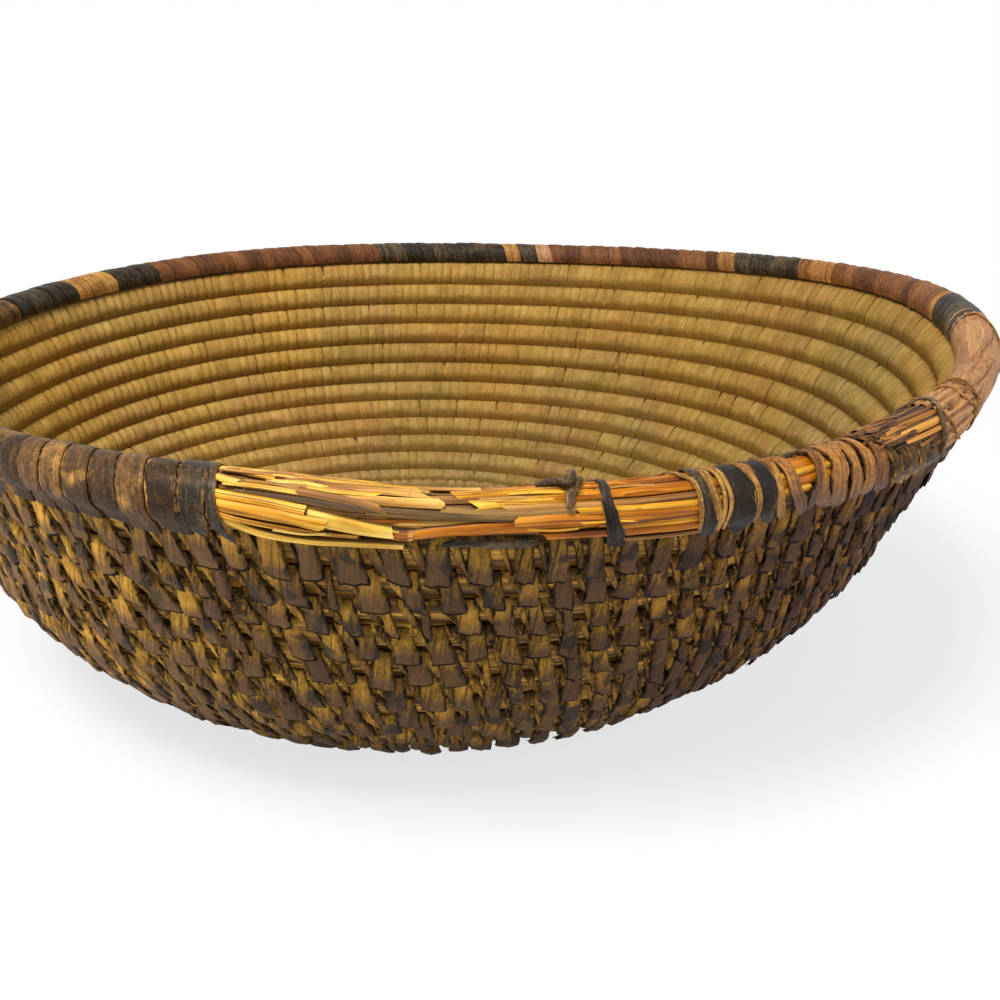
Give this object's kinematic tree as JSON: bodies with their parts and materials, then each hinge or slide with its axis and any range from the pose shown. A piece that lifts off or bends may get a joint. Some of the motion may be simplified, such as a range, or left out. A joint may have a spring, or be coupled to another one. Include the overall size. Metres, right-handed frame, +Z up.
{
  "type": "coiled basket",
  "caption": "Round coiled straw basket bowl with a flat base, flared wall and a splint-bound rim whose straw shows through at the front.",
  "frame": {"origin": "middle of the base's underside, on the table", "axes": "+Z up out of the bowl, -Y to the front where bare straw shows on the rim, +X to the right"},
  "size_m": [0.3075, 0.3115, 0.0978],
  "materials": {
    "golden_coil": "matte",
    "olive_coil": "matte",
    "brown_splint": "satin",
    "red_splint": "satin",
    "black_splint": "satin",
    "tan_splint": "satin",
    "orange_splint": "satin",
    "pink_splint": "satin",
    "straw": "semi-gloss",
    "straw_dark": "semi-gloss",
    "bark": "matte"
  },
  "bodies": {
    "root": {"start_knot": "golden_coil", "base_coil": "golden_coil", "wall_coil": "olive_coil", "rim_bundle": "bark", "band_brown_left": "brown_splint", "band_black_side": "black_splint", "band_brown_front": "brown_splint", "band_black_front": "black_splint", "band_black_right": "black_splint", "band_tan_right": "orange_splint", "band_black_end": "black_splint", "band_red_right": "red_splint", "band_mixed_right": "orange_splint", "band_black_back_right": "black_splint", "band_tan_back": "tan_splint", "band_red_back": "red_splint", "band_pink_back": "pink_splint", "band_black_patch": "black_splint", "band_tan_patch": "tan_splint", "band_black_back_left": "black_splint", "band_red_back_left": "red_splint", "band_black_left_short": "black_splint", "band_tan_left": "tan_splint", "band_black_left": "black_splint", "stalk_01": "straw", "stalk_02": "straw", "stalk_03": "straw_dark", "stalk_04": "straw", "stalk_05": "straw", "stalk_06": "straw_dark", "stalk_07": "straw", "stalk_08": "straw", "stalk_09": "straw_dark", "stalk_10": "straw", "splinter_01": "bark", "splinter_02": "bark", "splinter_03": "bark", "splinter_04": "bark", "lashing_knotted": "black_splint", "lashing_front": "black_splint", "lashing_edge": "brown_splint", "lashing_twine_low": "brown_splint", "lashing_twine_mid": "tan_splint", "lashing_twine_high": "brown_splint"}
  },
  "joints": []
}
